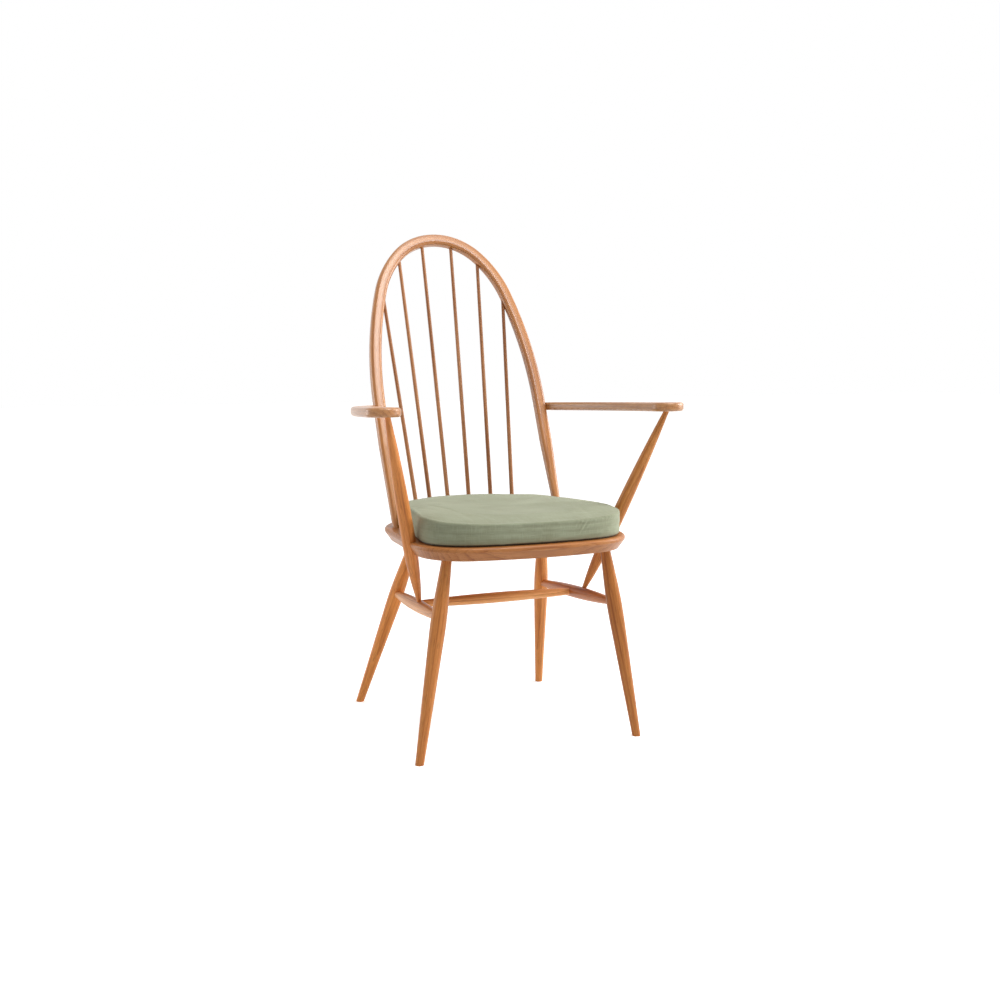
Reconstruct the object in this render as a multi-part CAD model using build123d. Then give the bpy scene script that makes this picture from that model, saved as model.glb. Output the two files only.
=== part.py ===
from build123d import *
from math import cos, radians, sin, sqrt, tan
import os

os.makedirs("parts", exist_ok=True)

# A hoop-back dining armchair in turned and bent wood, with a loose seat cushion. Millimetres.
# +Z is up and the chair faces -Y. Left and right are the sitter's, so left is +X.
# The origin is on the floor, under the middle of the whole chair's box.

# Fits
glue_gap = 0.1            # round every tenon, dowel and screw in its bore
rest_gap = 0.3            # under the loose cushion
bore_spare = 0.6          # past the end of a blind tenon

# Seat board
seat_height = 394         # flat top above the floor
seat_thickness = 25
seat_width = 423
seat_depth = 450
seat_front_turn = 10.5    # degrees that half of the front edge turns
seat_corner_radius = 104
seat_side_taper = 3.5     # degrees that each side closes towards the back
seat_rear_corner_radius = 150
seat_rear_corner_turn = 66
seat_edge_round = 5
seat_bevel_height = 17    # of the slanted underside edge
seat_bevel_width = 12

# Legs: turned, thickest where the stretchers enter, wedged through the seat
leg_foot_diameter = 16
leg_crest_diameter = 30.6
leg_neck_diameter = 18.6  # at the seat's underside
leg_tenon_diameter = 18
leg_crest_round = 900
front_leg_from_front = 71
front_leg_from_side = 54.2
front_leg_side_splay = 9.55
front_leg_fore_splay = 3.24
rear_leg_from_rear = 143.8
rear_leg_from_side = 75.2
rear_leg_side_splay = 10.77
rear_leg_back_splay = 24.55
wedge_depth = 15
wedge_thick = 2.4
wedge_tip = 0.6

# Stretchers: swelled rails between the legs
stretcher_front_height = 264
stretcher_rear_height = 250
side_stretcher_diameter = 25
side_stretcher_end_diameter = 15
cross_stretcher_diameter = 21
cross_stretcher_end_diameter = 14
cross_stretcher_share = 0.53   # of the way along the side stretcher from its front
tenon_shoulder = 2             # straight tenon left outside its bore

# Back bow: one bent hoop, flat-sided above the arms and tapered to round feet below them
bow_foot_from_rear = 138.7
bow_foot_from_side = 34
bow_rake = 23.9
bow_rise = 637.8          # foot to apex along the raked plane, on the centre line
bow_apex_radius = 124.3
bow_apex_turn = 46.2
bow_shoulder_radius = 217.2
bow_shoulder_turn = 26.9
bow_width = 24            # across the face of the hoop
bow_depth = 21
bow_corner = 7
bow_foot_diameter = 15
bow_tenon_diameter = 13.6
bow_foot_shoulder = 4.5   # straight tenon left above the rim
bow_taper_clear = 55      # full section carried on below the arms

# Spindles
spindle_arc_radius = 153.6     # the sockets in the seat lie on this arc
spindle_arc_from_rear = 21.6
spindle_pitch = 17.2           # degrees along that arc
spindle_top_offsets = (33, 89.6, 137)
spindle_seat_diameter = 9
spindle_top_diameter = 7
spindle_seat_tenon_diameter = 8
spindle_seat_tenon = 17
spindle_top_tenon = 8          # into the bow's inner face
spindle_tenon_shoulder = 4

# Arms: flat paddles, let against the outside of the bow
arm_height = 626.2        # underside above the floor, at the post
arm_thickness = 17
arm_tilt = 1.9            # degrees, front up
arm_end_radius = 32
arm_end_outward = 6       # middle of the rounded end from the post, in plan
arm_end_rearward = 9
arm_neck = 24             # where it meets the bow
arm_neck_width = 22
arm_neck_share = 0.97     # of the neck that the rounded edges may take
arm_edge_round = 5.5
arm_dowel_diameter = 8
arm_dowel_in_bow = 11
arm_dowel_in_arm = 10
arm_dowel_forward = 3     # of the bow's middle, away from the arm's rear corner

# Arm posts: turned, thickest in the seat's notch, standing on the side stretchers
post_notch_from_front = 137.2
post_notch_inset = 0.9    # post axis inside the seat's edge
post_diameter = 26
post_foot_diameter = 9
post_top_diameter = 10
post_share = 0.416        # of the way along the side stretcher from its front
post_top_tenon = 10
post_screw_diameter = 4
post_screw_head_diameter = 8
post_screw_head = 3
post_screw_in_seat = 26
post_screw_below_rim = 11
post_counterbore = 9      # from the post's outside to the screw head

# Cushion: crowned pad in a sewn cover
cushion_behind_front = 9       # of the seat
cushion_post_gap = 2.5         # beside the arm posts, at the rim
cushion_spindle_gap = 14       # in front of the middle spindles, at the rim
cushion_front_turn = 9
cushion_corner_radius = 100
cushion_side_taper = 8.6
cushion_rear_corner_radius = 130
cushion_rear_corner_turn = 44
cushion_base_round = 15        # edge under the side band
cushion_side_height = 18       # upright part of the side band
cushion_top_round = 14
cushion_crown_turn = 14        # degrees that the crown still climbs inside the rounded top edge
cushion_crown_run = 68         # from that edge to where the crown is level
cushion_arc_steps = 3          # sections round each edge
cushion_crown_steps = 6
cover_thickness = 1.2
cover_base_seam = 6            # seams of the side band, above the cushion's base
cover_top_seam = 41

# Places that follow from the sizes above
seat_half = seat_width / 2
seat_underside = seat_height - seat_thickness
rake_sin = sin(radians(bow_rake))
rake_cos = cos(radians(bow_rake))
bow_flat = bow_width / 2 - bow_corner
bow_corner_reach = bow_flat * rake_sin + (bow_depth / 2 - bow_corner) * rake_cos + bow_corner
chair_depth = seat_depth - bow_foot_from_rear + bow_rise * rake_sin + bow_corner_reach
seat_front = -chair_depth / 2
seat_rear = seat_front + seat_depth
sides = (("left", 1), ("right", -1))


def mirrored(shape):
    return mirror(shape, about=Plane.YZ)


def on_side(shape, side):
    return shape if side > 0 else mirrored(shape)


def polar(centre, radius, angle):
    # Point on a circle in plan, with the angle in degrees from +X towards +Y
    return Vector(centre.X + radius * cos(radians(angle)), centre.Y + radius * sin(radians(angle)))


def arc_about(centre, radius, start, end):
    # Circular arc given by its centre and two angles
    middle = polar(centre, radius, (start + end) / 2)
    return ThreePointArc(polar(centre, radius, start), middle, polar(centre, radius, end))


def shield(half, front, rear, front_turn, corner, taper, rear_corner, rear_turn, inset=0):
    # Seat-shaped face: a bowed front, round corners, tapering sides and a bowed back, all tangent
    half -= inset
    front += inset
    rear -= inset
    corner -= inset
    rear_corner -= inset
    turn = radians(front_turn)
    lean = radians(taper)
    last = radians(taper + rear_turn)
    front_radius = (half - corner * (1 - sin(turn))) / sin(turn)
    front_centre = Vector(0, front + front_radius)
    corner_start = polar(front_centre, front_radius, front_turn - 90)
    corner_centre = Vector(half - corner, corner_start.Y + corner * cos(turn))
    side_start = polar(corner_centre, corner, taper)
    # The straight side is as long as brings the back arc to the rear edge
    pivot = side_start - Vector(cos(lean), sin(lean)) * rear_corner
    rise = 1 - sin(last)
    room = rear - pivot.Y - rear_corner * sin(last) - (pivot.X / cos(last) + rear_corner) * rise
    straight = room / (cos(lean) - sin(lean) * rise / cos(last))
    along = Vector(-sin(lean), cos(lean)) * straight
    rear_centre = pivot + along
    rear_radius = rear_centre.X / cos(last) + rear_corner
    back_centre = Vector(0, rear - rear_radius)
    half_edges = [
        arc_about(front_centre, front_radius, -90, front_turn - 90),
        arc_about(corner_centre, corner, front_turn - 90, taper),
        Line(side_start, side_start + along),
        arc_about(rear_centre, rear_corner, taper, taper + rear_turn),
        arc_about(back_centre, rear_radius, taper + rear_turn, 90),
    ]
    return make_face(half_edges + [mirrored(edge) for edge in half_edges])


def side_at(half, corner_middle, taper, y):
    # Half width of a shield's tapering side at one place along the chair
    return half / cos(radians(taper)) - (y - corner_middle) * tan(radians(taper))


def turned(profile, start, end):
    # Solid turned about the line from start to end; the profile is (radius, distance from start)
    return Plane(start, z_dir=end - start) * revolve(Plane.XZ * make_face(profile), Axis.Z)


def rod(radius, start, end):
    length = (end - start).length
    return Plane(start, z_dir=end - start) * Pos(0, 0, length / 2) * Cylinder(radius, length)


def swelled(end_radius, widest, far_radius, shoulder, middle, far_shoulder, length):
    # Outline of a swelled stick: straight tenons and two arcs that meet at the widest place
    crest = (widest, middle)
    near = (end_radius, shoulder)
    far = (far_radius, length - far_shoulder)
    return [
        Polyline((0, 0), (end_radius, 0), near),
        TangentArc(crest, near, tangent=(0, -1)),
        TangentArc(crest, far, tangent=(0, 1)),
        Polyline(far, (far_radius, length), (0, length), (0, 0)),
    ]


def tenon_length(radius, along, into):
    # From the axis of the round stick that a tenon enters to just outside its surface
    return radius / sin(radians(along.get_angle(into))) + tenon_shoulder


def at_height(start, end, height):
    # Point of a line at a height above the floor
    return start + (end - start) * ((height - start.Z) / (end.Z - start.Z))


def group(solids):
    return Compound(children=list(solids))


# Seat
def seat_face(inset=0):
    return shield(seat_half, seat_front, seat_rear, seat_front_turn, seat_corner_radius, seat_side_taper,
                  seat_rear_corner_radius, seat_rear_corner_turn, inset)


def seat_blank():
    bevel_top = seat_underside + seat_bevel_height
    lower = Pos(0, 0, seat_underside) * seat_face(seat_bevel_width)
    upper = Pos(0, 0, bevel_top) * seat_face()
    board = loft([lower, upper], ruled=True) + extrude(upper, seat_height - bevel_top)
    return fillet(board.faces().sort_by(Axis.Z)[-1].edges(), seat_edge_round)


# Legs: each axis runs from the floor through the seat
seat_middle = seat_height - seat_thickness / 2


def leg_axis(x, y, side_splay, back_splay):
    top = Vector(x, y, seat_middle)
    foot = Vector(x + seat_middle * tan(radians(side_splay)), y + seat_middle * tan(radians(back_splay)), 0)
    return foot, top


front_leg = leg_axis(seat_half - front_leg_from_side, seat_front + front_leg_from_front,
                     front_leg_side_splay, -front_leg_fore_splay)
rear_leg = leg_axis(seat_half - rear_leg_from_side, seat_rear - rear_leg_from_rear,
                    rear_leg_side_splay, rear_leg_back_splay)
front_joint = at_height(*front_leg, stretcher_front_height)
rear_joint = at_height(*rear_leg, stretcher_rear_height)


def leg_blank(axis, joint):
    # Double taper with a rounded crest; cut level at the floor and flush with the seat's top
    foot, top = axis
    slant = (top - foot).length / top.Z
    below = Vector(foot) - (top - foot) * (leg_foot_diameter / top.Z)
    lowered = (foot - below).length
    crest = lowered + joint.Z * slant
    tilt_rise = leg_neck_diameter / 2 * sqrt(slant**2 - 1)
    neck = lowered + seat_underside * slant - tilt_rise - tenon_shoulder
    end = lowered + (seat_height + leg_tenon_diameter) * slant
    outline = FilletPolyline((leg_foot_diameter / 2, lowered), (leg_crest_diameter / 2, crest),
                             (leg_neck_diameter / 2, neck), radius=leg_crest_round)
    tenon = leg_tenon_diameter / 2
    rest = Polyline((leg_neck_diameter / 2, neck), (tenon, neck), (tenon, end), (0, end),
                    (0, 0), (leg_foot_diameter / 2, 0), (leg_foot_diameter / 2, lowered))
    leg = turned([outline, rest], below, top)
    leg = split(leg, Plane.XY, keep=Keep.TOP)
    return split(leg, Plane.XY.offset(seat_height), keep=Keep.BOTTOM)


def tenon_bore(axis, diameter, low, high):
    return rod(diameter / 2 + glue_gap, at_height(*axis, low), at_height(*axis, high))


def wedge_block(tip, toward, width):
    # Wedge driven into a tenon's end at tip, pointing the way of toward
    half_thick = wedge_thick / 2
    half_tip = wedge_tip / 2
    section = Polyline((-wedge_thick, -wedge_thick), (-half_thick, 0), (-half_tip, wedge_depth),
                       (half_tip, wedge_depth), (half_thick, 0), (wedge_thick, -wedge_thick), close=True)
    block = extrude(Plane.XZ * make_face(section), width, both=True)
    return Plane(tip, x_dir=(1, 0, 0), z_dir=toward) * block


# Stretchers
def side_stretcher_blank():
    along = rear_joint - front_joint
    end = side_stretcher_end_diameter / 2
    leg_radius = leg_crest_diameter / 2
    front_tenon = tenon_length(leg_radius, along, front_leg[1] - front_leg[0])
    rear_tenon = tenon_length(leg_radius, along, rear_leg[1] - rear_leg[0])
    middle = along.length / 2
    profile = swelled(end, side_stretcher_diameter / 2, end, front_tenon, middle, rear_tenon, along.length)
    return turned(profile, front_joint, rear_joint)


cross_left = front_joint + (rear_joint - front_joint) * cross_stretcher_share
cross_right = Vector(-cross_left.X, cross_left.Y, cross_left.Z)


def cross_stretcher():
    length = cross_left.X * 2
    tenon = tenon_length(side_stretcher_diameter / 2, Vector(1, 0, 0), rear_joint - front_joint)
    end = cross_stretcher_end_diameter / 2
    profile = swelled(end, cross_stretcher_diameter / 2, end, tenon, length / 2, tenon, length)
    return turned(profile, cross_right, cross_left)


# Back bow, drawn flat in its raked plane: x across the chair, y up the rake from the seat's rim
bow_half = seat_half - bow_foot_from_side
bow_foot_y = seat_rear - bow_foot_from_rear
bow_plane = Plane((0, bow_foot_y, seat_height), x_dir=(1, 0, 0), z_dir=(0, -rake_cos, rake_sin))
shoulder_end = bow_apex_turn + bow_shoulder_turn
apex_centre = Vector(0, bow_rise - bow_apex_radius)
shoulder_centre = polar(apex_centre, bow_apex_radius - bow_shoulder_radius, 90 - bow_apex_turn)
shoulder_low = polar(shoulder_centre, bow_shoulder_radius, 90 - shoulder_end)
side_radius = (bow_half - shoulder_low.X) / (1 - sin(radians(shoulder_end)))
side_centre = polar(shoulder_centre, bow_shoulder_radius - side_radius, 90 - shoulder_end)


def bow_place(x, y):
    # Point of the raked plane in the chair's own frame
    return Vector(x, bow_foot_y + y * rake_sin, seat_height + y * rake_cos)


def bow_crossing(x):
    # Centre line of the hoop at a distance from the chair's middle
    if x < bow_apex_radius * sin(radians(bow_apex_turn)):
        return bow_place(x, apex_centre.Y + sqrt(bow_apex_radius**2 - x**2))
    return bow_place(x, shoulder_centre.Y + sqrt(bow_shoulder_radius**2 - (x - shoulder_centre.X)**2))


def bow_blank(taper_top):
    # Swept hoop, two tapering legs and round tenons through the seat
    half_path = [
        Line((bow_half, taper_top), (bow_half, side_centre.Y)),
        arc_about(side_centre, side_radius, 0, 90 - shoulder_end),
        arc_about(shoulder_centre, bow_shoulder_radius, 90 - shoulder_end, 90 - bow_apex_turn),
        arc_about(apex_centre, bow_apex_radius, 90 - bow_apex_turn, 90),
    ]
    path = Wire(half_path + [mirrored(edge).edge() for edge in reversed(half_path)])
    across = Plane((bow_half, taper_top, 0), x_dir=(1, 0, 0), z_dir=(0, 1, 0))
    full = across * RectangleRounded(bow_width, bow_depth, bow_corner)
    hoop = sweep(full, path)
    ankle = Plane((bow_half, bow_foot_shoulder, 0), x_dir=(1, 0, 0), z_dir=(0, 1, 0))
    round_face = RectangleRounded(bow_foot_diameter, bow_foot_diameter, bow_foot_diameter / 2 - glue_gap)
    leg = loft([ankle * round_face, full], ruled=True)
    low = Vector(bow_half, -seat_thickness / rake_cos - bow_foot_diameter, 0)
    leg += rod(bow_tenon_diameter / 2, low, Vector(bow_half, bow_foot_diameter, 0))
    bow = bow_plane * (hoop + leg + mirrored(leg))
    return split(bow, Plane.XY.offset(seat_underside), keep=Keep.TOP)


# Spindles: sockets along an arc in the seat, tops in the inside of the bow
def spindle_ends(index):
    turn = (index + 0.5) * spindle_pitch
    arc_middle = Vector(0, seat_rear - spindle_arc_from_rear - spindle_arc_radius)
    low = polar(arc_middle, spindle_arc_radius, 90 - turn)
    return Vector(low.X, low.Y, seat_height), bow_crossing(spindle_top_offsets[index])


def spindle_reach(index):
    # Ends of the spindle: down into the seat, and short of the bow's centre line
    rim, centre = spindle_ends(index)
    along = (centre - rim).normalized()
    return rim - along * spindle_seat_tenon, centre + along * (spindle_top_tenon - bow_width / 2)


def spindle(index):
    low, high = spindle_reach(index)
    length = (high - low).length
    seat_tenon = spindle_seat_tenon_diameter / 2
    top = spindle_top_diameter / 2
    shoulder = spindle_seat_tenon + spindle_tenon_shoulder
    neck = length - spindle_top_tenon - 2 * spindle_tenon_shoulder
    profile = [Polyline((0, 0), (seat_tenon, 0), (seat_tenon, shoulder),
                        (spindle_seat_diameter / 2, shoulder + spindle_tenon_shoulder), (top, neck),
                        (top, length), (0, length), close=True)]
    return turned(profile, low, high)


def spindle_bores(index):
    low, high = spindle_reach(index)
    along = (high - low).normalized()
    rim, centre = spindle_ends(index)
    seat_radius = spindle_seat_tenon_diameter / 2 + glue_gap
    top_radius = spindle_top_diameter / 2 + glue_gap
    seat_bore = rod(seat_radius, low - along * bore_spare, rim + along * seat_thickness)
    # The outer spindles meet the bow at a slant, so each bore starts well outside it
    bow_bore = rod(top_radius, centre - along * bow_width * 2, high + along * bore_spare)
    return seat_bore, bow_bore


# Arm posts: from the side stretcher, through the notch, to the underside of the arm
corner_middle = seat_front + seat_corner_radius
notch_y = seat_front + post_notch_from_front
notch_edge = side_at(seat_half, corner_middle, seat_side_taper, notch_y)
notch = Vector(notch_edge - post_notch_inset, notch_y, seat_height)
post_foot = front_joint + (rear_joint - front_joint) * post_share
post_top = at_height(post_foot, notch, arm_height)


def post_profile(spare):
    # Sharp-ended swelled stick, and the notch that takes it when given a spare gap
    along = post_top - post_foot
    length = along.length + post_top_tenon
    shoulder = tenon_length(side_stretcher_diameter / 2, along, rear_joint - front_joint)
    return swelled(post_foot_diameter / 2 + spare, post_diameter / 2 + spare, post_top_diameter / 2 + spare,
                   shoulder, (notch - post_foot).length, post_top_tenon + tenon_shoulder, length)


def post_blank(spare=0):
    end = post_foot + (post_top - post_foot).normalized() * ((post_top - post_foot).length + post_top_tenon)
    return turned(post_profile(spare), post_foot, end)


# Arms
def bow_at_arm():
    # Where the arm's middle height crosses the straight side of the bow
    drop = tan(radians(arm_tilt))
    height = arm_height + arm_thickness / 2
    level = (height - seat_height - drop * (bow_foot_y - post_top.Y)) / (rake_cos + drop * rake_sin)
    return bow_place(bow_half, level)


arm_joint = bow_at_arm()
bow_face = bow_half + bow_width / 2


def arm_blank():
    # Paddle: rounded front end, two long arcs, a rounded rear corner and a flat neck against the bow
    centre = Vector(post_top.X + arm_end_outward, post_top.Y + arm_end_rearward)
    inner_front = centre - Vector(arm_end_radius, 0)
    outer_front = centre + Vector(arm_end_radius, 0)
    neck_front = Vector(bow_face, arm_joint.Y - arm_neck / 2)
    neck_rear = Vector(bow_face, arm_joint.Y + arm_neck / 2)
    outer_rear = Vector(bow_face + arm_neck_width, arm_joint.Y - arm_neck / 4)
    front_end = ThreePointArc(outer_front, centre - Vector(0, arm_end_radius), inner_front)
    inner_side = TangentArc(inner_front, neck_front, tangent=(0, 1))
    outer_side = TangentArc(outer_front, outer_rear, tangent=(0, 1))
    rear_corner = TangentArc(outer_rear, neck_rear, tangent=outer_side % 1)
    outline = make_face([front_end, inner_side, Line(neck_front, neck_rear), outer_side, rear_corner])
    board = extrude(outline, arm_thickness)
    flats = board.faces().filter_by(Axis.Z)
    rims = flats.edges().filter_by_position(Axis.X, bow_face + glue_gap, post_top.X * 2)
    # The rounded edges run out on the neck at a slant, so its length limits them
    slant = 1 / abs((inner_side % 1).X) + 1 / abs((rear_corner % 1).X)
    board = fillet(rims, min(arm_edge_round, arm_neck * arm_neck_share / slant))
    tilt = Pos(0, post_top.Y, arm_height) * Rot(-arm_tilt, 0, 0) * Pos(0, -post_top.Y, 0)
    return tilt * board


def arm_dowel(spare=0):
    reach = Vector(1, 0, 0)
    face = Vector(bow_face, arm_joint.Y - arm_dowel_forward, arm_joint.Z)
    low = face - reach * (arm_dowel_in_bow + spare)
    return rod(arm_dowel_diameter / 2 + spare, low, face + reach * (arm_dowel_in_arm + spare))


# Post screws, from the outside of the post into the seat's edge, under plugs
screw_middle = at_height(post_foot, notch, seat_height - post_screw_below_rim)
screw_head_out = screw_middle + Vector(post_diameter / 2 - post_counterbore + post_screw_head, 0, 0)


def post_screw(spare=0):
    inward = Vector(-1, 0, 0)
    shank_end = screw_middle + inward * (post_diameter / 2 + post_screw_in_seat + spare)
    shank = rod(post_screw_diameter / 2 + spare, shank_end, screw_head_out)
    head_under = screw_head_out + inward * post_screw_head
    return shank + rod(post_screw_head_diameter / 2 + spare, head_under, screw_head_out)


def plug_rod(spare=0):
    outside = screw_head_out + Vector(post_diameter, 0, 0)
    return rod(post_screw_head_diameter / 2 + spare, screw_head_out, outside)


# Cushion, between the posts and in front of the spindles
cushion_base = seat_height + rest_gap
cushion_front = seat_front + cushion_behind_front
cushion_rear = seat_rear - spindle_arc_from_rear - spindle_seat_diameter / 2 - cushion_spindle_gap
cushion_lean = radians(cushion_side_taper)
cushion_at_posts = notch.X - post_diameter / 2 - cushion_post_gap
cushion_widening = (notch_y - cushion_front - cushion_corner_radius) * tan(cushion_lean)
cushion_half = (cushion_at_posts + cushion_widening) * cos(cushion_lean)
cushion_crown_radius = cushion_crown_run / sin(radians(cushion_crown_turn))
cushion_side_top = cushion_base_round + cushion_side_height
cushion_levels = (cushion_arc_steps, cushion_arc_steps, cushion_crown_steps)


def cushion_face(inset):
    return shield(cushion_half, cushion_front, cushion_rear, cushion_front_turn, cushion_corner_radius,
                  cushion_side_taper, cushion_rear_corner_radius, cushion_rear_corner_turn, inset)


def cushion_profile(skin):
    # (drawn in, height) up the side: the rounded base edge, the rounded top edge and the crown.
    # Each is an arc about its own middle, and skin brings all of them inwards alike.
    top_turn = 90 - cushion_crown_turn
    lift = cushion_crown_radius - cushion_top_round
    crown_in = cushion_top_round + lift * cos(radians(top_turn))
    crown_low = cushion_side_top - lift * sin(radians(top_turn))
    arcs = (
        (cushion_base_round, cushion_base_round, cushion_base_round, -90, 0),
        (cushion_top_round, cushion_side_top, cushion_top_round, 0, top_turn),
        (crown_in, crown_low, cushion_crown_radius, top_turn, 90),
    )
    profile = []
    for (middle_in, middle_high, radius, start, end), steps in zip(arcs, cushion_levels):
        for step in range(1 if start == top_turn else 0, steps + 1):
            angle = radians(start + (end - start) * step / steps)
            reach = radius - skin
            profile.append((middle_in - reach * cos(angle), middle_high + reach * sin(angle)))
    return profile


def cushion_solid(skin):
    profile = cushion_profile(skin)
    return loft([Pos(0, 0, cushion_base + high) * cushion_face(drawn_in) for drawn_in, high in profile])


def cover_slice(cover, low, high):
    reach = seat_width + seat_depth
    slab = Pos(0, 0, (low + high) / 2) * Box(reach, reach, high - low)
    return cover & slab


# Put the pieces together
parts = {}
front_blank = leg_blank(front_leg, front_joint)
rear_blank = leg_blank(rear_leg, rear_joint)
side_blank = side_stretcher_blank()
post = post_blank()
arm = arm_blank()
taper_start = (arm_joint.Z - arm_thickness - bow_taper_clear - seat_height) / rake_cos

# Bores that a neighbour leaves in each piece, all on the left side
stretcher_end = (rear_joint - front_joint).normalized() * bore_spare
stretcher_bore_radius = side_stretcher_end_diameter / 2 + glue_gap
front_bore = rod(stretcher_bore_radius, front_joint - stretcher_end, rear_joint)
rear_bore = rod(stretcher_bore_radius, front_joint, rear_joint + stretcher_end)
cross_end = cross_left + Vector(bore_spare, 0, 0)
cross_bore = rod(cross_stretcher_end_diameter / 2 + glue_gap, cross_right, cross_end)
post_line = (post_top - post_foot).normalized()
post_foot_bore = rod(post_foot_diameter / 2 + glue_gap, post_foot - post_line * bore_spare, notch)
post_tip = post_top + post_line * (post_top_tenon + bore_spare)
post_top_bore = rod(post_top_diameter / 2 + glue_gap, notch, post_tip)
post_notch_cutter = post_blank(glue_gap)
spindle_indexes = range(len(spindle_top_offsets))

seat = seat_blank()
bow = bow_blank(taper_start)
bow_foot = bow_place(bow_half, 0)
bow_axis = (bow_place(bow_half, -seat_thickness), bow_foot)
bore_low = seat_underside - seat_thickness
bore_high = seat_height + seat_thickness
seat_cutters = [
    tenon_bore(front_leg, leg_tenon_diameter, bore_low, bore_high),
    tenon_bore(rear_leg, leg_tenon_diameter, bore_low, bore_high),
    tenon_bore(bow_axis, bow_tenon_diameter, bore_low, bore_high),
    post_notch_cutter,
    post_screw(glue_gap),
]
bow_cutters = [arm_dowel(glue_gap)]
for index in spindle_indexes:
    seat_bore, bow_bore = spindle_bores(index)
    seat_cutters.append(seat_bore)
    bow_cutters.append(bow_bore)

# Wedges split the leg tenons from above and the bow tenons from below
wedges = {}
legs = {}
for end, blank, axis in (("front", front_blank, front_leg), ("rear", rear_blank, rear_leg)):
    block = wedge_block(at_height(*axis, seat_height), axis[0] - axis[1], leg_tenon_diameter)
    wedges[end] = blank & block
    legs[end] = blank - block
bow_end = at_height(*bow_axis, seat_underside)
bow_block = wedge_block(bow_end, bow_axis[1] - bow_axis[0], bow_tenon_diameter)
bow_wedge = bow & bow_block
bow_cutters.append(bow_block)

parts["seat"] = seat - seat_cutters - [mirrored(cutter) for cutter in seat_cutters]
parts["back_bow"] = bow - bow_cutters - [mirrored(cutter) for cutter in bow_cutters]
count = len(spindle_top_offsets)
for index in spindle_indexes:
    stick = spindle(index)
    parts[f"spindle_{count - index}"] = mirrored(stick)
    parts[f"spindle_{count + index + 1}"] = stick

pierced_legs = {"front": legs["front"] - front_bore, "rear": legs["rear"] - rear_bore}
pierced_stretcher = side_blank - cross_bore - post_foot_bore
pierced_post = post - post_screw(glue_gap) - plug_rod(glue_gap)
pierced_arm = arm - post_top_bore - arm_dowel(glue_gap)
for name, side in sides:
    for end, leg in pierced_legs.items():
        parts[f"leg_{end}_{name}"] = on_side(leg, side)
    parts[f"side_stretcher_{name}"] = on_side(pierced_stretcher, side)
    parts[f"arm_post_{name}"] = on_side(pierced_post, side)
    parts[f"arm_{name}"] = on_side(pierced_arm, side)
parts["cross_stretcher"] = cross_stretcher()

parts["leg_wedges"] = group(on_side(wedge, side) for _, side in sides for wedge in wedges.values())
parts["bow_wedges"] = group(on_side(bow_wedge, side) for _, side in sides)
parts["arm_dowels"] = group(on_side(arm_dowel(), side) for _, side in sides)
parts["post_screws"] = group(on_side(post_screw(), side) for _, side in sides)
parts["post_plugs"] = group(on_side(post & plug_rod(), side) for _, side in sides)

cover = cushion_solid(0) - cushion_solid(cover_thickness)
cushion_top = cushion_base + cushion_profile(0)[-1][1]
base_seam = cushion_base + cover_base_seam
top_seam = cushion_base + cover_top_seam
parts["cushion_foam"] = cushion_solid(cover_thickness + glue_gap)
parts["cushion_base_panel"] = cover_slice(cover, cushion_base - cover_thickness, base_seam)
parts["cushion_side_band"] = cover_slice(cover, base_seam, top_seam)
parts["cushion_top_panel"] = cover_slice(cover, top_seam, cushion_top + cover_thickness)

for node, shape in parts.items():
    export_step(shape, f"parts/{node}.step")
    print(node, "volume", round(shape.volume / 1000, 2), "cm3")
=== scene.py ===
import math

import bpy
import numpy as np
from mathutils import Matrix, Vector


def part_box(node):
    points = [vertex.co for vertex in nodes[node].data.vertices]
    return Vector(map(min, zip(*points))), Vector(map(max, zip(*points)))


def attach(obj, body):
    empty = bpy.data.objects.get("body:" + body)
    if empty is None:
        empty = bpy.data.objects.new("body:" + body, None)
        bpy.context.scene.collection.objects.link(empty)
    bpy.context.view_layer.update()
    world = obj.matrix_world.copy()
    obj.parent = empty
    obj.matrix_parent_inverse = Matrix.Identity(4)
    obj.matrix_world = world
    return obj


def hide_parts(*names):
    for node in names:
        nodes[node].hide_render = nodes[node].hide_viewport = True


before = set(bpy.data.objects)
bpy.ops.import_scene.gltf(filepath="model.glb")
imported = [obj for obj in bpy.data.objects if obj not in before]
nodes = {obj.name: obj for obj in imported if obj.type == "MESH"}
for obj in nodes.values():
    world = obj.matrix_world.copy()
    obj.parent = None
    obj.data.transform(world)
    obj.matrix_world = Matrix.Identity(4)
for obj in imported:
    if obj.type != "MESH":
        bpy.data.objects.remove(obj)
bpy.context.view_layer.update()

# Hoop-back dining armchair: lacquered wood grain on every stick, a bent bow and a sewn seat cushion
scene = bpy.context.scene
scene.view_settings.view_transform = "Standard"
print("frame loaded:", len(nodes), "nodes")


# Shader helpers
def addNode(tree, kind, inputs=None, **settings):
    # One shader node; an input is a value, or the socket that feeds it
    made = tree.nodes.new("ShaderNode" + kind)
    for name, value in settings.items():
        setattr(made, name, value)
    for name, value in (inputs or {}).items():
        if isinstance(value, bpy.types.NodeSocket):
            tree.links.new(value, made.inputs[name])
        else:
            made.inputs[name].default_value = value
    return made


def newMaterial(name):
    # A material with its node tree and its shader
    material = bpy.data.materials.new(name)
    material.use_nodes = True
    tree = material.node_tree
    return material, tree, tree.nodes["Principled BSDF"]


def scaled(tree, source, scale):
    return addNode(tree, "VectorMath", {0: source, 1: scale}, operation="MULTIPLY").outputs[0]


def noiseAt(tree, place, detail, scale=1.0):
    return addNode(tree, "TexNoise", {"Vector": place, "Scale": scale, "Detail": detail}).outputs["Fac"]


def mathNode(tree, operation, first, second=0.0, third=0.0):
    return addNode(tree, "Math", {0: first, 1: second, 2: third}, operation=operation).outputs[0]


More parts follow.
